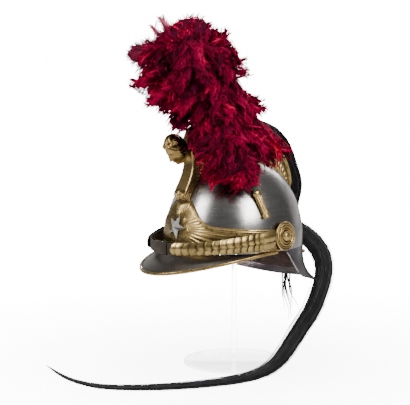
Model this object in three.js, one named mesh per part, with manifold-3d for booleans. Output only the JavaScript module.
// Crested cavalry helmet with a tall feather plume and a horsehair mane, on a clear display stand.
// Millimetres, +Z up. The front of the helmet is -Y and the wearer's left is +X.
// The origin is the centre of the underside of the stand's disc.

import * as THREE from "three";
import { mergeVertices } from "three/addons/utils/BufferGeometryUtils.js";
import Module from "manifold-3d";

const wasm = await Module();
wasm.setup();

// Gap between pieces that touch, and what flat facets on a curve may lose
const FIT = 0.3;
const FACET = 0.15;

// Stand
const DISC_RADIUS = 78;
const DISC_THICKNESS = 6;
const DISC_BEVEL = 0.8;
const POST_DIAMETER = 8;
const CAP_RADIUS = 26;
const CAP_THICKNESS = 5;

// Skull: the steel bowl, a superellipsoid
const RIM_HEIGHT = 186;
const SKULL_HALF_LENGTH = 116;
const SKULL_HALF_WIDTH = 94;
const SKULL_RISE = 138;
const SKULL_WALL = 1.5;
const SKULL_FULLNESS = 2.2;

// Peak and its binding
const PEAK_REACH = 49;
const PEAK_SIDE_REACH = 2;
const PEAK_DROP = 26.5;
const PEAK_THICKNESS = 1.8;
const PEAK_CROWN = 3.5;
const PEAK_END_TURN = 84;
const BINDING_WIDTH = 3;
const BINDING_HEIGHT = 5;
const BINDING_END_TURN = 90;

// Neck guard, its lining and its studs
const GUARD_REACH = 36;
const GUARD_SIDE_REACH = 4;
const GUARD_DROP = 62.5;
const GUARD_THICKNESS = 1.6;
const GUARD_FLARE = 3.2;
const LINING_THICKNESS = 1.3;
const STUD_RADIUS = 3.2;
const STUD_HEIGHT = 3.5;
const STUD_TURN_FROM_REAR = 36;
const STUD_DEPTH_SHARE = 0.2;

// Front plate, its border, rays and star
const PLATE_THICKNESS = 1.2;
const PLATE_FOOT = 3.4;
const PLATE_END_TURN = 97;
const BORDER_RELIEF = 0.8;
const RAY_COUNT = 20;
const RAY_RELIEF = 0.8;
const STAR_RADIUS = 18.6;
const STAR_VALLEY_SHARE = 0.42;
const STAR_HEIGHT = 5.5;
const STAR_EDGE = 1;
const STAR_RISE_SHARE = 0.268;

// Crest: the hollow brass comb, its front plate and its mask
const CREST_RISE = 53;
const CREST_HALF_WIDTH = 13.5;
const CREST_WALL = 1.6;
const CREST_GADROON = 1.4;
const CREST_BORDER = 1.5;
const CREST_PLATE_THICKNESS = 1.4;
const MASK_HEIGHT = 50;
const MASK_WIDTH = 28;
const MASK_DEPTH = 34;
const MASK_LEAN = 37;

// Mane
const MANE_WIDTH = 27;
const MANE_DEPTH = 19;
const MANE_CREST_DEPTH = 18;
const WISP_WIDTH = 7;

// Plume, its socket and its knob
const SOCKET_WIDTH = 13;
const SOCKET_DEPTH = 8;
const KNOB_RADIUS = 8;
const PLUME_HEIGHT = 255;
const PLUME_HALF_WIDTH = 83;
const PLUME_CORE_SHARE = 0.84;
const TUFT_LENGTH = 32;
const TUFT_WIDTH = 30;
const TUFT_DROOP_SHARE = 0.35;
const TUFT_ROWS = 8;
const TUFTS_ROUND = 8;

// Chin straps
const STRAP_FRONT_CLEARANCE = 28.5;
const STRAP_SIDE_CLEARANCE = 3;
const STRAP_THICKNESS = 2;
const STRAP_WIDTH = 16.5;
const STRAP_DROP = 13;
const ROSETTE_RADIUS = 22;
const ROSETTE_RISE = 22;
const ROSETTE_TURN = 98;
const ROSETTE_BACK_GAP = 1.6;
const SCALE_THICKNESS = 0.9;
const SCALE_CROWN = 2.4;
const SCALE_WIDTH_AT_EAR = 27;
const SCALE_WIDTH_AT_FRONT = 18.5;
const SCALE_OVERLAP = 0.32;
const LINK_LENGTH = 25;
const LEFT_SCALE_END_TURN = 13;
const RIGHT_SCALE_END_TURN = 28;
const LEFT_SCALES = 13;
const RIGHT_SCALES = 10;
const KEEPER_LENGTH = 26;
const KEEPER_WALL = 1.4;

const radians = THREE.MathUtils.degToRad;
const lerp = THREE.MathUtils.lerp;
const clamp = THREE.MathUtils.clamp;
const UP = new THREE.Vector3(0, 0, 1);
const point = (x, y, z) => new THREE.Vector3(x, y, z);
const blend = (a, b, share) => a.clone().lerp(b, share);

// Even steps from one value to another, both ends included
function steps(from, to, count) {
  return Array.from({ length: count + 1 }, (_, i) => lerp(from, to, i / count));
}

// A smooth value between the rows of a table, looked up by one of its columns
function tableValue(rows, key, at, column) {
  const last = rows.length - 1;
  if (at <= rows[0][key]) return rows[0][column];
  if (at >= rows[last][key]) return rows[last][column];
  const next = rows.findIndex((row) => row[key] > at);
  const low = rows[next - 1];
  const high = rows[next];
  const share = (at - low[key]) / (high[key] - low[key]);
  const before = rows[Math.max(next - 2, 0)];
  const after = rows[Math.min(next + 1, last)];
  const span = high[key] - low[key];
  const lowSlope = (high[column] - before[column]) / Math.max(high[key] - before[key], 1e-9) * span;
  const highSlope = (after[column] - low[column]) / Math.max(after[key] - low[key], 1e-9) * span;
  const square = share * share;
  const cube = square * share;
  return (2 * cube - 3 * square + 1) * low[column] + (cube - 2 * square + share) * lowSlope
    + (3 * square - 2 * cube) * high[column] + (cube - square) * highSlope;
}

// Closed bodies from triangles, grids and rings

function closedBody(triangles) {
  const raw = new THREE.BufferGeometry();
  const numbers = triangles.flatMap((corners) => corners.flatMap((corner) => corner.toArray()));
  raw.setAttribute("position", new THREE.Float32BufferAttribute(numbers, 3));
  const geometry = mergeVertices(raw, 1e-3);
  const places = geometry.getAttribute("position");
  const index = geometry.index.array;
  const kept = [];
  let volume = 0;
  for (let i = 0; i < index.length; i += 3) {
    const [a, b, c] = [index[i], index[i + 1], index[i + 2]];
    if (a === b || b === c || a === c) continue;
    kept.push([a, b, c]);
    const corners = [a, b, c].map((n) => new THREE.Vector3().fromBufferAttribute(places, n));
    volume += corners[0].dot(corners[1].cross(corners[2])) / 6;
  }
  const ordered = volume < 0 ? kept.map(([a, b, c]) => [a, c, b]) : kept;
  geometry.setIndex(ordered.flat());
  geometry.computeVertexNormals();
  return geometry;
}

function skin(rows, wraps = false) {
  const triangles = [];
  const last = wraps ? rows.length : rows.length - 1;
  for (let i = 0; i < last; i += 1) {
    const here = rows[i];
    const next = rows[(i + 1) % rows.length];
    for (let j = 0; j < here.length - 1; j += 1) {
      triangles.push([here[j], next[j], next[j + 1]]);
      triangles.push([here[j], next[j + 1], here[j + 1]]);
    }
  }
  return triangles;
}

// A sheet with a thickness: two grids of points, one on each face, joined round their edges
function wall(outer, inner, wraps = false) {
  const last = outer.length - 1;
  const end = outer[0].length - 1;
  const triangles = skin(outer, wraps);
  triangles.push(...skin(inner, wraps).map(([a, b, c]) => [a, c, b]));
  const around = (list) => (wraps ? [...list, list[0]] : list);
  const column = (grid, j) => around(grid.map((row) => row[j]));
  triangles.push(...skin([column(outer, 0), column(inner, 0)]));
  triangles.push(...skin([column(inner, end), column(outer, end)]));
  if (!wraps) {
    triangles.push(...skin([inner[0], outer[0]]));
    triangles.push(...skin([outer[last], inner[last]]));
  }
  return closedBody(triangles);
}

// A body through closed rings of points, with flat or domed ends
function loft(rings, startTip = null, endTip = null) {
  const looped = rings.map((ring) => [...ring, ring[0]]);
  const triangles = skin(looped);
  const middle = (ring) => ring.reduce((sum, p) => sum.add(p), point(0, 0, 0)).divideScalar(ring.length);
  const cap = (ring, tip, reversed) => {
    const centre = tip ?? middle(ring);
    ring.forEach((corner, j) => {
      const next = ring[(j + 1) % ring.length];
      triangles.push(reversed ? [centre, next, corner] : [centre, corner, next]);
    });
  };
  cap(rings[0], startTip, false);
  cap(rings[rings.length - 1], endTip, true);
  return closedBody(triangles);
}

// A round body about a line, from a profile of distances along the line and radii
function turned(profile, segments, origin, axis) {
  const outline = profile.map(([along, radius]) => new THREE.Vector2(radius, along));
  const geometry = new THREE.LatheGeometry(outline, segments);
  geometry.deleteAttribute("normal");
  geometry.deleteAttribute("uv");
  geometry.applyQuaternion(new THREE.Quaternion().setFromUnitVectors(point(0, 1, 0), axis));
  geometry.translate(origin.x, origin.y, origin.z);
  const flat = geometry.toNonIndexed().getAttribute("position");
  const corners = steps(0, flat.count - 1, flat.count - 1)
    .map((i) => new THREE.Vector3().fromBufferAttribute(flat, Math.round(i)));
  const triangles = [];
  for (let i = 0; i < corners.length; i += 3) triangles.push(corners.slice(i, i + 3));
  return closedBody(triangles);
}

// Joining and cutting

function toManifold(geometry) {
  return new wasm.Manifold(new wasm.Mesh({
    numProp: 3,
    vertProperties: new Float32Array(geometry.getAttribute("position").array),
    triVerts: new Uint32Array(geometry.index.array),
  }));
}

function fromManifold(solid) {
  const mesh = solid.getMesh();
  const geometry = new THREE.BufferGeometry();
  geometry.setAttribute("position", new THREE.BufferAttribute(new Float32Array(mesh.vertProperties), 3));
  geometry.setIndex([...mesh.triVerts]);
  geometry.computeVertexNormals();
  return geometry;
}

const joined = (list) => list.map(toManifold).reduce((all, next) => all.add(next));
const cutBy = (solid, keepOuts) => keepOuts.reduce((left, next) => left.subtract(toManifold(next)), solid);

// The largest piece of a body that a cut has left in several
function largest(solid) {
  const parts = solid.decompose();
  return parts.reduce((best, next) => (next.volume() > best.volume() ? next : best));
}

// Materials

function finish(color, roughness, metalness, extra = {}) {
  return new THREE.MeshStandardMaterial({ color, roughness, metalness, flatShading: true, ...extra });
}

const STEEL = finish(0x8d8f94, 0.28, 1);
const DARK_STEEL = finish(0x55504c, 0.42, 0.9);
const BRASS = finish(0xa78a4c, 0.34, 1);
const SILVER = finish(0xc9c6bd, 0.25, 1);
const LEATHER = finish(0x3d2d26, 0.65, 0);
const LINING = finish(0x6b4a3c, 0.7, 0);
const HORSEHAIR = finish(0x15151a, 0.6, 0);
const FEATHERS = finish(0x8e0f33, 0.8, 0);
const KNOB = finish(0x2f2b1e, 0.6, 0.2);
const ACRYLIC = finish(0xeef2f4, 0.05, 0, { transparent: true, opacity: 0.35 });

const helmet = new THREE.Group();

function addPiece(name, geometry, material) {
  const mesh = new THREE.Mesh(geometry, material);
  mesh.name = name;
  helmet.add(mesh);
}

// Skull

// A point on the skull: turn is degrees from the front towards the wearer's left, rise is a share of
// the skull's height, and out is the distance outside the surface, square to it
function onSkull(turn, rise, out = 0) {
  const share = (1 - clamp(rise, 0, 1) ** SKULL_FULLNESS) ** (1 / SKULL_FULLNESS);
  const x = SKULL_HALF_WIDTH * share * Math.sin(radians(turn));
  const y = -SKULL_HALF_LENGTH * share * Math.cos(radians(turn));
  return point(x, y, RIM_HEIGHT + rise * SKULL_RISE).addScaledVector(skullNormal(turn, rise), out);
}

function skullNormal(turn, rise) {
  const share = (1 - clamp(rise, 0, 1) ** SKULL_FULLNESS) ** (1 / SKULL_FULLNESS);
  const across = share ** (SKULL_FULLNESS - 1);
  const x = across * Math.sin(radians(turn)) / SKULL_HALF_WIDTH;
  const y = -across * Math.cos(radians(turn)) / SKULL_HALF_LENGTH;
  return point(x, y, rise ** (SKULL_FULLNESS - 1) / SKULL_RISE).normalize();
}

const SKULL_TURNS = steps(0, 360, 32).slice(0, -1);
const SKULL_RISES = steps(0, 90, 8).map((angle) => Math.sin(radians(angle)) ** (2 / SKULL_FULLNESS));

function skullGrid(out) {
  return SKULL_TURNS.map((turn) => SKULL_RISES.map((rise) => onSkull(turn, rise, out)));
}

// The skull filled solid and grown, for cutting its neighbours to its shape. Its foot reaches lower
function skullKeepOut(grow) {
  const rings = SKULL_RISES.slice(0, -1)
    .map((rise) => SKULL_TURNS.map((turn) => onSkull(turn, rise, grow)));
  const foot = rings[0].map((corner) => corner.clone().setZ(RIM_HEIGHT - SKULL_WALL));
  return loft([foot, ...rings], null, onSkull(0, 1, grow));
}

addPiece("skull", wall(skullGrid(0), skullGrid(-SKULL_WALL), true), STEEL);

// Stand

const CAP_TOP_GAP = FIT + 3 * FACET;
const capTop = (radius, turn) => {
  const share = radius / Math.hypot(
    (SKULL_HALF_WIDTH - SKULL_WALL) * Math.sin(radians(turn)),
    (SKULL_HALF_LENGTH - SKULL_WALL) * Math.cos(radians(turn)),
  );
  const inner = (1 - share ** SKULL_FULLNESS) ** (1 / SKULL_FULLNESS) * (SKULL_RISE - SKULL_WALL);
  return RIM_HEIGHT + inner - CAP_TOP_GAP;
};
const CAP_EDGE_TOP = Math.min(capTop(CAP_RADIUS, 0), capTop(CAP_RADIUS, 90));
const CAP_UNDERSIDE = CAP_EDGE_TOP - CAP_THICKNESS;

function addStand() {
  const disc = [
    [0, 0],
    [0, DISC_RADIUS - DISC_BEVEL],
    [DISC_BEVEL, DISC_RADIUS],
    [DISC_THICKNESS - DISC_BEVEL, DISC_RADIUS],
    [DISC_THICKNESS, DISC_RADIUS - DISC_BEVEL],
    [DISC_THICKNESS, 0],
  ];
  addPiece("stand_base", turned(disc, 28, point(0, 0, 0), UP), ACRYLIC);
  const postFoot = DISC_THICKNESS + FIT;
  const postLength = CAP_UNDERSIDE - FIT - postFoot;
  const post = [[0, 0], [0, POST_DIAMETER / 2], [postLength, POST_DIAMETER / 2], [postLength, 0]];
  addPiece("stand_post", turned(post, 16, point(0, 0, postFoot), UP), ACRYLIC);
  const crown = Math.min(capTop(0, 0), capTop(CAP_RADIUS / 2, 90) + CAP_THICKNESS / 4) - CAP_UNDERSIDE;
  const half = capTop(CAP_RADIUS / 2, 90) - CAP_UNDERSIDE;
  const cap = [[0, 0], [0, CAP_RADIUS], [CAP_THICKNESS, CAP_RADIUS], [half, CAP_RADIUS / 2], [crown, 0]];
  addPiece("stand_cap", turned(cap, 20, point(0, 0, CAP_UNDERSIDE), UP), ACRYLIC);
}

addStand();

// Peak

// The fall of the peak's rim at each turn, as a share of its whole drop
const peakFall = (turn) => Math.max(Math.cos(radians(turn)), 0) ** 1.4;

function onPeakRim(turn, out = 0) {
  const x = (SKULL_HALF_WIDTH + PEAK_SIDE_REACH + out) * Math.sin(radians(turn));
  const y = -(SKULL_HALF_LENGTH + PEAK_REACH + out) * Math.cos(radians(turn));
  return point(x, y, RIM_HEIGHT - FIT - PEAK_DROP * peakFall(turn));
}

function onPeak(turn, share, below) {
  const top = onSkull(turn, 0);
  top.z -= FIT;
  const place = blend(top, onPeakRim(turn), share);
  const crown = PEAK_CROWN * peakFall(turn) * 4 * share * (1 - share);
  const outwards = skullNormal(turn, 0);
  const slope = Math.atan2(PEAK_DROP, PEAK_REACH) * peakFall(turn);
  const normal = outwards.multiplyScalar(Math.sin(slope)).addScaledVector(UP, Math.cos(slope));
  return place.addScaledVector(normal, crown - below);
}

function addPeak() {
  const turns = steps(-PEAK_END_TURN, PEAK_END_TURN, 22);
  const shares = steps(0, 1, 3);
  const face = (below) => turns.map((turn) => shares.map((share) => onPeak(turn, share, below)));
  addPiece("peak", wall(face(0), face(PEAK_THICKNESS)), DARK_STEEL);
  const near = FIT + FACET;
  const section = [
    { out: near, up: 0.4 },
    { out: near + BINDING_WIDTH * 0.6, up: 0.5 },
    { out: near + BINDING_WIDTH, up: 0.1 },
    { out: near + BINDING_WIDTH * 0.8, up: -0.4 },
    { out: near, up: -0.5 },
  ];
  const middle = BINDING_HEIGHT * 0.1 - PEAK_THICKNESS / 2;
  const rings = steps(-BINDING_END_TURN, BINDING_END_TURN, 26).map((turn) => section.map(({ out, up }) => {
    const corner = onPeakRim(turn, out);
    corner.z += up * BINDING_HEIGHT + middle;
    return corner;
  }));
  addPiece("peak_binding", loft(rings), BRASS);
}

addPeak();

// Neck guard: how far its rim hangs at each turn from the rear, as a share of the whole drop

const GUARD_TABLE = [
  { fromRear: -4, drop: 1 },
  { fromRear: 24, drop: 0.995 },
  { fromRear: 40, drop: 0.92 },
  { fromRear: 56, drop: 0.78 },
  { fromRear: 64, drop: 0.68 },
  { fromRear: 70, drop: 0.42 },
  { fromRear: 75, drop: 0.13 },
  { fromRear: 77, drop: 0.07 },
];
const GUARD_ENDS = GUARD_TABLE[GUARD_TABLE.length - 1].fromRear;
const GUARD_ANGLES = [0, 8, 16, 24, 32, 40, 48, 56, 61, 65, 69, 73, GUARD_ENDS];
const GUARD_TURNS = [...GUARD_ANGLES.slice(1).reverse().map((angle) => 180 - angle),
  ...GUARD_ANGLES.map((angle) => 180 + angle)];

function onGuard(turn, share, out = 0) {
  const drop = GUARD_DROP * tableValue(GUARD_TABLE, "fromRear", Math.abs(180 - turn), "drop");
  const place = (at) => {
    const flare = at ** GUARD_FLARE * drop / GUARD_DROP;
    const x = (SKULL_HALF_WIDTH + GUARD_SIDE_REACH * flare) * Math.sin(radians(turn));
    const y = -(SKULL_HALF_LENGTH + GUARD_REACH * flare) * Math.cos(radians(turn));
    return point(x, y, RIM_HEIGHT - FIT - drop * at);
  };
  const down = place(share + 0.01).sub(place(Math.max(share - 0.01, 0))).normalize();
  const round = point(-Math.cos(radians(turn)) * SKULL_HALF_WIDTH,
    -Math.sin(radians(turn)) * SKULL_HALF_LENGTH, 0).normalize();
  const normal = share === 0 ? skullNormal(turn, 0) : round.cross(down).normalize();
  return place(share).addScaledVector(normal, out);
}

const GUARD_SHARES = [0, 0.3, 0.56, 0.75, 0.89, 1];
const guardFace = (out, turns = GUARD_TURNS, shares = GUARD_SHARES) => turns
  .map((turn) => shares.map((share) => onGuard(turn, share, out)));

function addGuard() {
  addPiece("neck_guard", wall(guardFace(0), guardFace(-GUARD_THICKNESS)), STEEL);
  const turns = GUARD_TURNS.slice(3, -3);
  const shares = GUARD_SHARES.slice(0, 4).map((share) => Math.max(share, 0.04));
  const outside = -GUARD_THICKNESS - FIT - FACET;
  addPiece("neck_guard_lining", wall(guardFace(outside, turns, shares),
    guardFace(outside - LINING_THICKNESS, turns, shares)), LINING);
  for (const [side, name] of [[1, "left"], [-1, "right"]]) {
    const turn = 180 - side * STUD_TURN_FROM_REAR;
    const seat = onGuard(turn, STUD_DEPTH_SHARE, FIT + FACET);
    const stud = [
      [0, 0],
      [0, STUD_RADIUS * 0.7],
      [STUD_HEIGHT * 0.3, STUD_RADIUS],
      [STUD_HEIGHT * 0.75, STUD_RADIUS * 0.8],
      [STUD_HEIGHT, 0],
    ];
    addPiece(`neck_guard_stud_${name}`, turned(stud, 12, seat, skullNormal(turn, 0)), BRASS);
  }
}

addGuard();

// Crest: points along its outer edge in the plane of symmetry, from the front foot to the rear foot.
// back is a share of the skull's half length, up is a share of the skull's and the crest's whole rise,
// and across is a share of the crest's half width

const CREST_TABLE = [
  { along: 0.0, back: -0.862, up: 0.392, across: 1.0 },
  { along: 0.03, back: -0.928, up: 0.44, across: 1.0 },
  { along: 0.06, back: -0.9, up: 0.488, across: 0.98 },
  { along: 0.1, back: -0.848, up: 0.545, across: 0.94 },
  { along: 0.14, back: -0.798, up: 0.618, across: 0.9 },
  { along: 0.18, back: -0.775, up: 0.697, across: 0.86 },
  { along: 0.22, back: -0.79, up: 0.764, across: 0.82 },
  { along: 0.27, back: -0.81, up: 0.83, across: 0.8 },
  { along: 0.32, back: -0.8, up: 0.9, across: 0.78 },
  { along: 0.37, back: -0.72, up: 0.965, across: 0.78 },
  { along: 0.44, back: -0.54, up: 1.0, across: 0.76 },
  { along: 0.54, back: -0.2, up: 1.0, across: 0.76 },
  { along: 0.64, back: 0.12, up: 0.985, across: 0.76 },
  { along: 0.75, back: 0.42, up: 0.915, across: 0.76 },
  { along: 0.84, back: 0.69, up: 0.805, across: 0.78 },
  { along: 0.92, back: 0.885, up: 0.655, across: 0.8 },
  { along: 0.97, back: 0.965, up: 0.5, across: 0.8 },
  { along: 1.0, back: 0.93, up: 0.4, across: 0.78 },
];
const crestValue = (along, column) => tableValue(CREST_TABLE, "along", along, column);

function onCrestLine(along, out = 0) {
  const place = (at) => point(0, crestValue(at, "back") * SKULL_HALF_LENGTH,
    RIM_HEIGHT + crestValue(at, "up") * (SKULL_RISE + CREST_RISE));
  const ahead = place(Math.min(along + 0.005, 1)).sub(place(Math.max(along - 0.005, 0))).normalize();
  return place(along).addScaledVector(point(0, -ahead.z, ahead.y), out);
}

// The crest's seat under each point of its edge, a little inside the skull, where the skull cuts it off
function crestSeat(along, sunk) {
  const front = CREST_TABLE[0].back;
  const rear = CREST_TABLE[CREST_TABLE.length - 1].back;
  const back = lerp(front, rear, along) * 0.985;
  const rise = (1 - Math.abs(back) ** SKULL_FULLNESS) ** (1 / SKULL_FULLNESS);
  return onSkull(back < 0 ? 0 : 180, rise, -sunk);
}

// Rows up the crest's side: height is a share from seat to edge, border is the relief at that row
const CREST_ROWS = [
  { height: 0, border: 0, gadroon: 0 },
  { height: 0.26, border: 0, gadroon: 0 },
  { height: 0.36, border: 0, gadroon: 1 },
  { height: 0.66, border: 0, gadroon: 1 },
  { height: 0.76, border: 0, gadroon: 0 },
  { height: 0.84, border: 1, gadroon: 0 },
  { height: 1, border: 0.8, gadroon: 0 },
];
const CREST_STATIONS = 24;

function crestRing(station, rows, outSide, outEdge) {
  const along = station / CREST_STATIONS;
  const seat = crestSeat(along, CREST_SUNK);
  const edge = onCrestLine(along, outEdge);
  const wide = CREST_HALF_WIDTH * crestValue(along, "across");
  const side = rows.map(({ height, border, gadroon }) => {
    const relief = border * CREST_BORDER + gadroon * CREST_GADROON * (station % 2);
    const place = blend(seat, edge, height);
    place.x = lerp(CREST_HALF_WIDTH, wide, height) - CREST_BORDER + relief + outSide;
    return place;
  });
  return [...side, ...side.map((corner) => corner.clone().setX(-corner.x)).reverse()];
}

const CREST_SUNK = 4;
const crestBody = () => loft(steps(0, CREST_STATIONS, CREST_STATIONS)
  .map((station) => crestRing(station, CREST_ROWS, 0, 0)));

// A plainer crest, grown or shrunk, for hollowing the crest and for cutting its neighbours
function plainCrest(outSide, outEdge, from, to) {
  const rows = [0, 1].map((height) => ({ height, border: 0, gadroon: 0 }));
  return loft(steps(from, to, to - from).map((station) => crestRing(station, rows, outSide, outEdge)));
}

const CREST_KEEP_OUT = plainCrest(CREST_BORDER + FIT, FIT, 0, CREST_STATIONS);

// The smooth plate on the crest's front edge, up to the mask's chin
const CREST_PLATE_END_SHARE = 0.235;

function crestPlateFace(out, spare) {
  return steps(0.012, CREST_PLATE_END_SHARE, 9).map((along) => {
    const wide = CREST_HALF_WIDTH * crestValue(along, "across") + spare;
    const middle = onCrestLine(along, out);
    return [-1, -0.5, 0.5, 1].map((share) => {
      const corner = middle.clone().setX(share * wide);
      const round = onCrestLine(along, out - (Math.abs(share) === 1 ? CREST_PLATE_THICKNESS / 2 : 0));
      return round.setX(corner.x);
    });
  });
}

function crestPlateBody(grow) {
  const inside = FIT + FACET;
  const inner = crestPlateFace(inside - grow, grow);
  inner.forEach((row, i) => row.forEach((corner) => {
    const level = crestPlateFace(inside - grow, grow)[i][1];
    corner.setY(level.y).setZ(level.z);
  }));
  return wall(crestPlateFace(inside + CREST_PLATE_THICKNESS + grow, grow), inner);
}

function addCrest() {
  const hollow = plainCrest(-CREST_WALL, -CREST_WALL, 1, CREST_STATIONS - 1);
  const shell = cutBy(toManifold(crestBody()), [hollow, skullKeepOut(FIT)]);
  addPiece("crest_shell", fromManifold(largest(shell)), BRASS);
  const plate = cutBy(toManifold(crestPlateBody(0)), [skullKeepOut(FIT), CREST_KEEP_OUT]);
  addPiece("crest_front_plate", fromManifold(largest(plate)), BRASS);
}

addCrest();

// Mask: a small calm woman's head with waved hair and a diadem, leaning forward from the crest

// Bumps on the head: up and side are angles on the head, high is relief as a share of the head's depth
const MASK_FEATURES = [
  { name: "nose", up: -6, side: 0, tall: 9, wide: 6, high: 0.15 },
  { name: "nose_bridge", up: 8, side: 0, tall: 12, wide: 5, high: 0.06 },
  { name: "brow", up: 17, side: 0, tall: 6, wide: 30, high: 0.045 },
  { name: "eye_left", up: 8, side: 17, tall: 6, wide: 9, high: -0.05 },
  { name: "eye_right", up: 8, side: -17, tall: 6, wide: 9, high: -0.05 },
  { name: "cheek_left", up: -10, side: 24, tall: 12, wide: 12, high: 0.05 },
  { name: "cheek_right", up: -10, side: -24, tall: 12, wide: 12, high: 0.05 },
  { name: "lips", up: -25, side: 0, tall: 5, wide: 10, high: 0.06 },
  { name: "chin", up: -45, side: 0, tall: 10, wide: 14, high: 0.08 },
  { name: "diadem", up: 52, side: 0, tall: 9, wide: 34, high: 0.2 },
  { name: "hair_left", up: 14, side: 72, tall: 40, wide: 24, high: 0.12 },
  { name: "hair_right", up: 14, side: -72, tall: 40, wide: 24, high: 0.12 },
  { name: "hair_top", up: 68, side: 0, tall: 16, wide: 200, high: 0.1 },
];

function maskRelief(up, side) {
  return MASK_FEATURES.reduce((sum, row) => {
    const high = Math.exp(-(((up - row.up) / row.tall) ** 2) - ((side - row.side) / row.wide) ** 2);
    return sum + row.high * high;
  }, 0);
}

const MASK_SEAT_SHARE = 0.25;
const HEAD_UP = point(0, -Math.sin(radians(MASK_LEAN)), Math.cos(radians(MASK_LEAN)));
const HEAD_FACE = point(0, -Math.cos(radians(MASK_LEAN)), -Math.sin(radians(MASK_LEAN)));
const HEAD_CENTRE = onCrestLine(MASK_SEAT_SHARE, CREST_PLATE_THICKNESS + MASK_DEPTH * 0.5)
  .addScaledVector(HEAD_UP, MASK_HEIGHT * 0.1);

function addMask() {
  const ups = steps(-78, 78, 12);
  const sides = steps(-180, 180, 20).slice(0, -1);
  const onHead = (up, side) => {
    const relief = 1 + maskRelief(up, side);
    const face = Math.cos(radians(up)) * Math.cos(radians(side)) * MASK_DEPTH / 2 * relief;
    const x = Math.cos(radians(up)) * Math.sin(radians(side)) * MASK_WIDTH / 2 * relief;
    const high = Math.sin(radians(up)) * MASK_HEIGHT / 2 * (1 + maskRelief(up, side) / 4);
    return HEAD_CENTRE.clone().add(point(x, 0, 0)).addScaledVector(HEAD_FACE, face)
      .addScaledVector(HEAD_UP, high);
  };
  const rings = ups.map((up) => sides.map((side) => onHead(up, side)));
  const chin = HEAD_CENTRE.clone().addScaledVector(HEAD_UP, -MASK_HEIGHT / 2);
  const crown = HEAD_CENTRE.clone().addScaledVector(HEAD_UP, MASK_HEIGHT / 2);
  const head = toManifold(loft(rings, chin, crown));
  const cut = cutBy(head, [CREST_KEEP_OUT, crestPlateBody(FIT)]);
  addPiece("crest_mask", fromManifold(largest(cut)), BRASS);
}

addMask();

// Front plate: the height of its top edge at each turn, as a share of the skull's rise

const PLATE_TABLE = [
  { turn: 0, top: 0.555 },
  { turn: 9, top: 0.57 },
  { turn: 18, top: 0.483 },
  { turn: 26, top: 0.368 },
  { turn: 34, top: 0.306 },
  { turn: 42, top: 0.29 },
  { turn: 58, top: 0.272 },
  { turn: 74, top: 0.254 },
  { turn: 98, top: 0.236 },
];
const plateTop = (turn) => tableValue(PLATE_TABLE, "turn", Math.abs(turn), "top");
const PLATE_GAP = FIT + FACET;
const PLATE_ROWS = [
  { height: 0, relief: 0 },
  { height: 0.42, relief: 0 },
  { height: 0.84, relief: 0 },
  { height: 0.89, relief: 1 },
  { height: 1, relief: 1 },
];

function onPlate(turn, share, out) {
  const foot = PLATE_FOOT / SKULL_RISE;
  return onSkull(turn, lerp(foot, plateTop(turn), share), out);
}

// Flat coordinates on the front of the helmet, about the star's centre, carried onto the skull
function aroundStar(across, up, out) {
  const millimetresPerDegree = radians(1) * SKULL_HALF_WIDTH;
  return onSkull(across / millimetresPerDegree, STAR_RISE_SHARE + up / SKULL_RISE, out);
}

// How far a ray runs from the star before it meets the border or the plate's foot
function rayReach(angle, longest) {
  const margin = 5;
  const lengths = steps(STAR_RADIUS, longest, 40);
  const fits = (length) => {
    const across = length * Math.cos(angle);
    const rise = STAR_RISE_SHARE + length * Math.sin(angle) / SKULL_RISE;
    const turn = across / (radians(1) * SKULL_HALF_WIDTH);
    const top = plateTop(turn) - margin * 1.6 / SKULL_RISE;
    return rise < top && rise > (PLATE_FOOT + margin) / SKULL_RISE;
  };
  const stop = lengths.findIndex((length) => !fits(length));
  return stop < 0 ? longest : lengths[Math.max(stop - 1, 0)];
}

function rayBody(angle) {
  const start = STAR_RADIUS * 0.62;
  const reach = rayReach(angle, STAR_RADIUS * 3.4);
  const spread = Math.PI / RAY_COUNT * 0.8;
  const skinDepth = PLATE_GAP + PLATE_THICKNESS * 0.5;
  const rings = [start, reach].map((length) => {
    const half = Math.min(length * spread, STAR_RADIUS * 0.3) * (length >= reach ? 0.5 : 1);
    const at = (offset, out) => aroundStar(
      length * Math.cos(angle) - offset * Math.sin(angle),
      length * Math.sin(angle) + offset * Math.cos(angle),
      out,
    );
    const top = PLATE_GAP + PLATE_THICKNESS + RAY_RELIEF * (length >= reach ? 0.2 : 1);
    return [at(-half, skinDepth), at(half, skinDepth), at(0, top)];
  });
  return loft(rings);
}

function addFrontPlate() {
  const turns = steps(-PLATE_END_TURN, PLATE_END_TURN, 28);
  const face = (out, raised) => turns.map((turn) => PLATE_ROWS
    .map(({ height, relief }) => onPlate(turn, height, out + raised * relief * BORDER_RELIEF)));
  const sheet = wall(face(PLATE_GAP + PLATE_THICKNESS, 1), face(PLATE_GAP, 0));
  const angles = steps(0, 2 * Math.PI, RAY_COUNT).slice(0, -1).map((angle) => angle + Math.PI / RAY_COUNT);
  const rays = angles.filter((angle) => rayReach(angle, STAR_RADIUS * 3.4) > STAR_RADIUS * 1.1).map(rayBody);
  const plate = cutBy(joined([sheet, ...rays]), [CREST_KEEP_OUT, crestPlateBody(FIT), skullKeepOut(FIT / 2)]);
  addPiece("front_plate", fromManifold(largest(plate)), BRASS);
}

function addStar() {
  const seat = PLATE_GAP + PLATE_THICKNESS + RAY_RELIEF + FIT + FACET;
  const corners = steps(0, 9, 9).map((k) => {
    const radius = k % 2 === 0 ? STAR_RADIUS : STAR_RADIUS * STAR_VALLEY_SHARE;
    const angle = Math.PI / 2 + k * Math.PI / 5;
    return { across: radius * Math.cos(angle), up: radius * Math.sin(angle) };
  });
  const ring = (out) => corners.map(({ across, up }) => aroundStar(across, up, out));
  const star = loft([ring(seat), ring(seat + STAR_EDGE)],
    aroundStar(0, 0, seat), aroundStar(0, 0, seat + STAR_HEIGHT));
  addPiece("star", star, SILVER);
}

addFrontPlate();
addStar();

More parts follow.
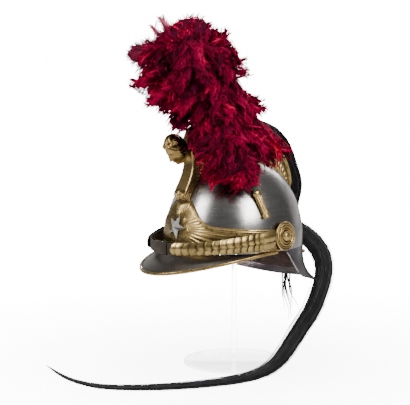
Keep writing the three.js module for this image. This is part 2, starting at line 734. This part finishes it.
// Chin straps: an oval loop round the front, from ear to ear

const STRAP_HALF_LENGTH = SKULL_HALF_LENGTH + STRAP_FRONT_CLEARANCE;
const STRAP_HALF_WIDTH = SKULL_HALF_WIDTH + STRAP_SIDE_CLEARANCE;
const strapLevel = (turn) => RIM_HEIGHT + ROSETTE_RISE
  - STRAP_DROP * Math.max(Math.cos(radians(turn)), 0) ** 0.8;

function onStrap(turn, up, out) {
  const sine = Math.sin(radians(turn));
  const cosine = Math.cos(radians(turn));
  const normal = point(sine / STRAP_HALF_WIDTH, -cosine / STRAP_HALF_LENGTH, 0).normalize();
  return point(STRAP_HALF_WIDTH * sine, -STRAP_HALF_LENGTH * cosine, strapLevel(turn) + up)
    .addScaledVector(normal, out);
}

// The strap and its links end at the rosettes' rims
const rosetteSeat = (side) => onSkull(side * ROSETTE_TURN, ROSETTE_RISE / SKULL_RISE,
  PLATE_GAP + PLATE_THICKNESS + ROSETTE_BACK_GAP);
const strapTurnAt = (y) => THREE.MathUtils.radToDeg(Math.acos(-y / STRAP_HALF_LENGTH));
const STRAP_END_TURN = strapTurnAt(rosetteSeat(1).y - ROSETTE_RADIUS - FIT - FACET);
const SCALE_START_TURN = strapTurnAt(rosetteSeat(1).y - ROSETTE_RADIUS - LINK_LENGTH);

// Turns that lie at even distances along the strap
function evenTurns(from, to, count) {
  const fine = steps(from, to, 200);
  const lengths = fine.reduce((list, turn, i) => {
    const step = i === 0 ? 0 : onStrap(turn, 0, 0).distanceTo(onStrap(fine[i - 1], 0, 0));
    return [...list, (list[i - 1] ?? 0) + step];
  }, []);
  const whole = lengths[lengths.length - 1];
  return steps(0, whole, count).map((want) => {
    const next = Math.max(lengths.findIndex((length) => length >= want - 1e-9), 1);
    const share = (want - lengths[next - 1]) / (lengths[next] - lengths[next - 1]);
    return { turn: lerp(fine[next - 1], fine[next], share), length: want };
  });
}

function addStrap() {
  const turns = steps(-STRAP_END_TURN, STRAP_END_TURN, 32);
  const face = (out) => turns.map((turn) => [-0.5, 0.5].map((up) => onStrap(turn, up * STRAP_WIDTH, out)));
  addPiece("chin_strap", wall(face(STRAP_THICKNESS / 2), face(-STRAP_THICKNESS / 2)), LEATHER);
  const halfTurn = KEEPER_LENGTH / 2 / (radians(1) * STRAP_HALF_WIDTH);
  const ring = (turn, spare, up) => {
    const out = STRAP_THICKNESS / 2 + spare;
    const high = STRAP_WIDTH / 2 + up;
    return [[-out, -high], [out, -high], [out, high], [-out, high]]
      .map(([away, level]) => onStrap(turn, level, away));
  };
  const keeperTurns = steps(-halfTurn, halfTurn, 5);
  const rows = (spare, up) => [0, 1, 2, 3].map((k) => keeperTurns.map((turn) => ring(turn, spare, up)[k]));
  const slack = FIT + FACET;
  addPiece("strap_keeper", wall(rows(slack + KEEPER_WALL, slack + KEEPER_WALL), rows(slack, slack), true),
    LEATHER);
}

addStrap();

// One scale of the chin strap. It lies on the leather's edges at its ear end and lifts towards its free
// end, which has a lobed edge and rests over the next scale
const SCALE_SEAT = STRAP_THICKNESS / 2 + FIT + FACET
  - SCALE_CROWN * (1 - (STRAP_WIDTH / SCALE_WIDTH_AT_FRONT) ** 2);
const SCALE_COLUMNS = [-1, -0.5, 0, 0.5, 1];
const scaleLobe = (v) => Math.sqrt(Math.max(1 - (2 * Math.abs(v) - 1) ** 2, 0));

function scaleBody(side, from, to, width, slope, lobe) {
  const length = to.length - from.length;
  const turnAt = (share) => lerp(from.turn, to.turn, share);
  const rows = SCALE_COLUMNS.map((v) => [0, 1].map((s) => {
    const free = 1 - lobe * (1 - scaleLobe(v));
    const share = s * free;
    return { v, turn: turnAt(share), lift: SCALE_SEAT + slope * share * length + SCALE_CROWN * (1 - v * v) };
  }));
  const face = (extra) => rows.map((row) => row
    .map(({ v, turn, lift }) => onStrap(side * turn, v * width / 2, lift + extra)));
  return wall(face(SCALE_THICKNESS), face(0));
}

function addScales(side, name, count, endTurn) {
  const marks = evenTurns(SCALE_START_TURN, endTurn, count);
  const pitch = marks[1].length;
  const slope = (SCALE_THICKNESS + FIT + FACET) / pitch;
  marks.slice(0, -1).forEach((mark, k) => {
    const width = lerp(SCALE_WIDTH_AT_EAR, SCALE_WIDTH_AT_FRONT, Math.min(k / (count - 4), 1));
    const next = marks[k + 1];
    const over = k === count - 1 ? 0 : SCALE_OVERLAP;
    const end = {
      turn: next.turn + (next.turn - mark.turn) * over,
      length: next.length + (next.length - mark.length) * over,
    };
    const number = String(k + 1).padStart(2, "0");
    addPiece(`chin_scale_${name}_${number}`, scaleBody(side, mark, end, width, slope, 0.22), BRASS);
  });
  const start = { turn: STRAP_END_TURN, length: 0 };
  const reach = onStrap(start.turn, 0, 0).distanceTo(onStrap(SCALE_START_TURN, 0, 0));
  const end = { turn: lerp(start.turn, SCALE_START_TURN, 1.25), length: reach * 1.25 };
  const linkSlope = (SCALE_THICKNESS + FIT + FACET) / reach;
  addPiece(`chin_link_${name}`, scaleBody(side, start, end, SCALE_WIDTH_AT_EAR * 1.04, linkSlope, 0.16), BRASS);
}

addScales(1, "left", LEFT_SCALES, LEFT_SCALE_END_TURN);
addScales(-1, "right", RIGHT_SCALES, RIGHT_SCALE_END_TURN);

// Rosettes: discs turned in rings, with a boss. Both columns are shares of the radius
const ROSETTE_PROFILE = [
  { radius: 0.72, out: 0 },
  { radius: 1, out: 0.07 },
  { radius: 0.94, out: 0.155 },
  { radius: 0.76, out: 0.11 },
  { radius: 0.6, out: 0.22 },
  { radius: 0.44, out: 0.165 },
  { radius: 0.28, out: 0.235 },
  { radius: 0.2, out: 0.38 },
];

function addRosettes() {
  const rise = ROSETTE_RISE / SKULL_RISE;
  for (const [side, name] of [[1, "left"], [-1, "right"]]) {
    const turn = side * ROSETTE_TURN;
    const boss = ROSETTE_PROFILE[ROSETTE_PROFILE.length - 1].out * ROSETTE_RADIUS;
    const rings = ROSETTE_PROFILE.map(({ radius, out }) => [out * ROSETTE_RADIUS, radius * ROSETTE_RADIUS]);
    const profile = [[0, 0], ...rings, [boss, 0]];
    addPiece(`rosette_${name}`, turned(profile, 16, rosetteSeat(side), skullNormal(turn, rise)), BRASS);
  }
}

addRosettes();

// Plume socket: a ribbed tube on the left of the skull, and the dark knob over its mouth

const SOCKET_FOOT = { turn: 82, rise: 0.37 };
const SOCKET_TOP = { turn: 75, rise: 0.63 };
const socketPoint = (share, out) => blend(
  onSkull(SOCKET_FOOT.turn, SOCKET_FOOT.rise, out),
  onSkull(SOCKET_TOP.turn, SOCKET_TOP.rise, out + SOCKET_DEPTH * 0.25),
  share,
);
const SOCKET_AXIS = socketPoint(1, SOCKET_DEPTH / 2).sub(socketPoint(0, SOCKET_DEPTH / 2)).normalize();
const SOCKET_OUT = skullNormal(SOCKET_TOP.turn, SOCKET_TOP.rise);
const SOCKET_SIDE = SOCKET_AXIS.clone().cross(SOCKET_OUT).normalize();
const KNOB_CENTRE = socketPoint(1, SOCKET_DEPTH * 0.75).addScaledVector(SOCKET_AXIS, KNOB_RADIUS * 0.75 + FIT)
  .addScaledVector(SOCKET_OUT, KNOB_RADIUS * 0.3);

function addSocket() {
  const bands = [
    { along: 0, size: 0.86 },
    { along: 0.05, size: 1 },
    { along: 0.11, size: 1 },
    { along: 0.13, size: 0.86 },
    { along: 0.86, size: 1 },
    { along: 0.9, size: 1.12 },
    { along: 1, size: 1.16 },
  ];
  const rings = bands.map(({ along, size }) => steps(0, 360, 12).slice(0, -1).map((angle, k) => {
    const rib = k % 2 === 0 ? 1 : 0.86;
    const out = Math.cos(radians(angle)) * SOCKET_DEPTH / 2 * size * rib;
    const across = Math.sin(radians(angle)) * SOCKET_WIDTH / 2 * size * rib;
    return socketPoint(along, SOCKET_DEPTH / 2 + out).addScaledVector(SOCKET_SIDE, across);
  }));
  const socket = cutBy(toManifold(loft(rings)), [skullKeepOut(FIT)]);
  addPiece("plume_socket", fromManifold(largest(socket)), BRASS);
  const knob = [[-0.72, 0.5], [-0.4, 0.86], [0, 1], [0.4, 0.86], [0.72, 0.55]];
  const profile = [[-0.72 * KNOB_RADIUS, 0], ...knob.map(([a, r]) => [a * KNOB_RADIUS, r * KNOB_RADIUS]),
    [0.72 * KNOB_RADIUS, 0]];
  const ball = cutBy(toManifold(turned(profile, 12, KNOB_CENTRE, SOCKET_AXIS)), [skullKeepOut(FIT)]);
  addPiece("plume_knob", fromManifold(largest(ball)), KNOB);
}

addSocket();

// Plume. Sections from the knob to the tip: up is a share of the plume's height, side and front are
// shares of its half width measured from the knob, and across and deep are shares of the half width

const PLUME_TABLE = [
  { up: 0.0, side: 0.06, front: 0.2, across: 0.36, deep: 0.18 },
  { up: 0.08, side: 0.03, front: 0.48, across: 0.58, deep: 0.3 },
  { up: 0.17, side: -0.06, front: 0.5, across: 0.74, deep: 0.4 },
  { up: 0.26, side: -0.15, front: 0.42, across: 0.86, deep: 0.46 },
  { up: 0.36, side: -0.3, front: 0.6, across: 0.76, deep: 0.5 },
  { up: 0.46, side: -0.44, front: 0.68, across: 0.8, deep: 0.56 },
  { up: 0.56, side: -0.54, front: 0.92, across: 0.84, deep: 0.6 },
  { up: 0.65, side: -0.63, front: 1.0, across: 0.93, deep: 0.64 },
  { up: 0.75, side: -0.7, front: 1.0, across: 1.0, deep: 0.64 },
  { up: 0.85, side: -0.75, front: 0.92, across: 0.76, deep: 0.56 },
  { up: 0.93, side: -0.77, front: 0.88, across: 0.58, deep: 0.4 },
  { up: 0.98, side: -0.78, front: 0.84, across: 0.3, deep: 0.22 },
];
const PLUME_FACING = 50;
const PLUME_ACROSS = point(Math.cos(radians(PLUME_FACING)), Math.sin(radians(PLUME_FACING)), 0);
const PLUME_DEEP = point(Math.sin(radians(PLUME_FACING)), -Math.cos(radians(PLUME_FACING)), 0);
const plumeValue = (up, column) => tableValue(PLUME_TABLE, "up", up, column);

function plumeCentre(up) {
  return KNOB_CENTRE.clone().add(point(
    plumeValue(up, "side") * PLUME_HALF_WIDTH,
    -plumeValue(up, "front") * PLUME_HALF_WIDTH,
    up * PLUME_HEIGHT,
  ));
}

function onPlume(up, angle, size) {
  const across = Math.cos(radians(angle)) * plumeValue(up, "across") * PLUME_HALF_WIDTH * size;
  const deep = Math.sin(radians(angle)) * plumeValue(up, "deep") * PLUME_HALF_WIDTH * size;
  return plumeCentre(up).addScaledVector(PLUME_ACROSS, across).addScaledVector(PLUME_DEEP, deep);
}

// An uneven but repeatable share for the nth tuft
const uneven = (n) => ((n * 0.618034 + 0.37 * (n % 3)) % 1);

// A tuft: a flat leaf of feathers. It grows out of the body, and its tip droops over the tuft below
function tuft(up, angle, n) {
  const size = lerp(0.8, 1.25, uneven(n));
  const root = onPlume(up, angle, 0.55);
  const outwards = onPlume(up, angle, 1).sub(root).normalize();
  const side = outwards.clone().cross(UP).normalize();
  const sweep = lerp(-0.5, 0.5, uneven(n + 5));
  const tip = onPlume(up, angle, lerp(0.94, 1.06, uneven(n + 2)))
    .addScaledVector(UP, -TUFT_LENGTH * TUFT_DROOP_SHARE * size)
    .addScaledVector(side, TUFT_LENGTH * sweep);
  const middle = blend(root, tip, 0.6).addScaledVector(UP, TUFT_WIDTH * 0.3 * size);
  const thick = outwards.clone().addScaledVector(UP, 1.2).normalize().multiplyScalar(TUFT_WIDTH * 0.28 * size);
  side.multiplyScalar(TUFT_WIDTH / 2 * size);
  const ring = [
    middle.clone().add(side),
    middle.clone().add(thick),
    middle.clone().sub(side),
    middle.clone().sub(thick),
  ];
  return loft([ring], root, tip);
}

function addPlume() {
  const ups = PLUME_TABLE.map((row) => row.up);
  const rings = ups.map((up) => steps(0, 360, 12).slice(0, -1).map((angle) => onPlume(up, angle, PLUME_CORE_SHARE)));
  const foot = plumeCentre(0).addScaledVector(UP, -TUFT_WIDTH / 2);
  const tip = plumeCentre(1);
  const rows = steps(0.05, 0.97, TUFT_ROWS - 1);
  const tufts = rows.flatMap((up, i) => {
    const count = Math.max(Math.round(TUFTS_ROUND * plumeValue(up, "across")), 4);
    return steps(0, 360, count).slice(0, -1).map((angle, k) => tuft(up, angle + i * 27, i * 9 + k));
  });
  const whole = joined([loft(rings, foot, tip), ...tufts]);
  const keepOuts = [CREST_KEEP_OUT, crestPlateBody(FIT), skullKeepOut(FIT)];
  const neighbours = ["crest_mask", "plume_socket", "plume_knob"].map((name) => helmet.getObjectByName(name));
  const clear = neighbours.reduce((left, mesh) => left.subtract(grownHull(mesh.geometry)),
    cutBy(whole, keepOuts));
  addPiece("plume", fromManifold(largest(clear)), FEATHERS);
}

// The convex outline of a neighbour, grown from its middle by a little more than the fit
function grownHull(geometry) {
  const hull = toManifold(geometry).hull();
  const box = hull.boundingBox();
  const middle = box.min.map((low, i) => (low + box.max[i]) / 2);
  const size = box.max.map((high, i) => high - box.min[i]);
  const grow = size.map((length) => (length + 4 * FIT) / length);
  return hull.translate(middle.map((value) => -value)).scale(grow).translate(middle);
}

addPlume();

// Mane. It lies along the rear of the crest's edge, hangs behind the neck guard, and trails forward
// over the surface that the stand is on

// The free part: side is a share of the skull's half width, back of the guard's half length, up of the
// rim's height; wide and thick are shares of the mane's width and depth; facing turns its width
const MANE_TABLE = [
  { side: 0, back: 0.85, up: 1.47, wide: 0.84, thick: 0.84, facing: 0 },
  { side: -0.06, back: 0.85, up: 1.34, wide: 0.84, thick: 0.84, facing: 0 },
  { side: -0.12, back: 0.848, up: 1.22, wide: 0.84, thick: 0.86, facing: 0 },
  { side: -0.1, back: 0.864, up: 1.12, wide: 0.9, thick: 0.88, facing: 12 },
  { side: 0.08, back: 0.955, up: 1.02, wide: 0.98, thick: 0.94, facing: 34 },
  { side: 0.24, back: 1.035, up: 0.92, wide: 1, thick: 1, facing: 34 },
  { side: 0.34, back: 1.065, up: 0.8, wide: 1, thick: 1, facing: 24 },
  { side: 0.41, back: 1.03, up: 0.68, wide: 1, thick: 1, facing: 16 },
  { side: 0.5, back: 0.91, up: 0.55, wide: 1, thick: 1, facing: 12 },
  { side: 0.66, back: 0.7, up: 0.41, wide: 0.98, thick: 0.98, facing: 8 },
  { side: 0.76, back: 0.46, up: 0.28, wide: 0.96, thick: 0.92, facing: 4 },
  { side: 0.84, back: 0.25, up: 0.15, wide: 0.92, thick: 0.86, facing: 4 },
  { side: 0.92, back: 0.06, up: 0.07, wide: 0.84, thick: 0.74, facing: 8 },
  { side: 1.03, back: -0.2, up: 0, wide: 0.76, thick: 0.62, facing: 8 },
  { side: 1.1, back: -0.52, up: 0, wide: 0.68, thick: 0.54, facing: -6 },
  { side: 0.95, back: -0.92, up: 0, wide: 0.6, thick: 0.46, facing: -20 },
  { side: 0.62, back: -1.33, up: 0, wide: 0.52, thick: 0.38, facing: -38 },
  { side: 0.05, back: -1.68, up: 0, wide: 0.4, thick: 0.3, facing: -66 },
  { side: -0.58, back: -1.74, up: 0, wide: 0.29, thick: 0.23, facing: -88 },
  { side: -1.12, back: -1.68, up: 0, wide: 0.21, thick: 0.17, facing: -98 },
  { side: -1.5, back: -1.61, up: 0, wide: 0.14, thick: 0.12, facing: -102 },
  { side: -1.82, back: -1.55, up: 0, wide: 0.05, thick: 0.06, facing: -102 },
];
const MANE_ON_CREST = [
  { along: 0.66, wide: 0.3, thick: 0.3 },
  { along: 0.7, wide: 0.46, thick: 0.55 },
  { along: 0.76, wide: 0.66, thick: 0.85 },
  { along: 0.82, wide: 0.78, thick: 1.1 },
  { along: 0.88, wide: 0.84, thick: 1.15 },
  { along: 0.94, wide: 0.86, thick: 1 },
];

function maneStations() {
  const onCrest = MANE_ON_CREST.map(({ along, wide, thick }) => ({
    place: onCrestLine(along, CREST_BORDER + FIT + thick * MANE_CREST_DEPTH / 2),
    wide: wide * MANE_WIDTH,
    thick: thick * MANE_CREST_DEPTH,
    facing: 0,
  }));
  const free = MANE_TABLE.map(({ side, back, up, wide, thick, facing }) => {
    const place = point(side * SKULL_HALF_WIDTH, back * (SKULL_HALF_LENGTH + GUARD_REACH), up * RIM_HEIGHT);
    place.z = Math.max(place.z, thick * MANE_DEPTH / 2);
    return { place, wide: wide * MANE_WIDTH, thick: thick * MANE_DEPTH, facing };
  });
  return [...onCrest, ...free];
}

// A ring of hair with ridges like locks, flat where it would reach below the surface it lies on
function lockRing(place, tangent, row, twist, corners, ridges) {
  const facing = point(Math.cos(radians(row.facing)), Math.sin(radians(row.facing)), 0);
  const across = facing.addScaledVector(tangent, -facing.dot(tangent)).normalize();
  const deep = tangent.clone().cross(across).normalize();
  return steps(0, 360, corners).slice(0, -1).map((angle) => {
    const ridge = 1 + 0.1 * Math.cos(radians(ridges * angle + twist));
    const corner = place.clone()
      .addScaledVector(across, Math.cos(radians(angle)) * row.wide / 2 * ridge)
      .addScaledVector(deep, Math.sin(radians(angle)) * row.thick / 2 * ridge);
    return corner.setZ(Math.max(corner.z, 0));
  });
}

function hairBody(stations, count, corners, ridges) {
  const curve = new THREE.CatmullRomCurve3(stations.map(({ place }) => place), false, "centripetal");
  const last = stations.length - 1;
  const rings = steps(0, 1, count).map((at) => {
    const low = Math.min(Math.floor(at * last), last - 1);
    const share = at * last - low;
    const row = {};
    for (const column of ["wide", "thick", "facing"]) {
      row[column] = lerp(stations[low][column], stations[low + 1][column], share);
    }
    return lockRing(curve.getPoint(at), curve.getTangent(at).normalize(), row, at * 500, corners, ridges);
  });
  return loft(rings);
}

// The thin lock that falls from the mane behind the far side of the neck guard
const WISP_TABLE = [
  { side: 0.0, back: 0.87, up: 1.4, wide: 1.2 },
  { side: -0.22, back: 0.93, up: 1.2, wide: 1.1 },
  { side: -0.46, back: 0.98, up: 0.98, wide: 1 },
  { side: -0.55, back: 1.03, up: 0.76, wide: 0.95 },
  { side: -0.56, back: 1.035, up: 0.62, wide: 0.8 },
  { side: -0.47, back: 1.0, up: 0.5, wide: 0.55 },
  { side: -0.36, back: 0.99, up: 0.36, wide: 0.15 },
];

function addMane() {
  const wisp = WISP_TABLE.map(({ side, back, up, wide }) => ({
    place: point(side * SKULL_HALF_WIDTH, back * (SKULL_HALF_LENGTH + GUARD_REACH), up * RIM_HEIGHT),
    wide: wide * WISP_WIDTH,
    thick: wide * WISP_WIDTH * 0.7,
    facing: 0,
  }));
  const hair = joined([hairBody(maneStations(), 42, 9, 3), hairBody(wisp, 12, 5, 2)]);
  const guard = guardKeepOut();
  const clear = cutBy(hair, [CREST_KEEP_OUT, skullKeepOut(FIT), guard]);
  addPiece("mane", fromManifold(largest(clear)), HORSEHAIR);
}

// The neck guard thickened on both faces by a little more than the fit
function guardKeepOut() {
  const spare = 2 * FIT;
  const shares = [...GUARD_SHARES.slice(0, -1), 1 + spare / GUARD_DROP];
  return wall(guardFace(spare, GUARD_TURNS, shares), guardFace(-GUARD_THICKNESS - spare, GUARD_TURNS, shares));
}

addMane();

export default helmet;
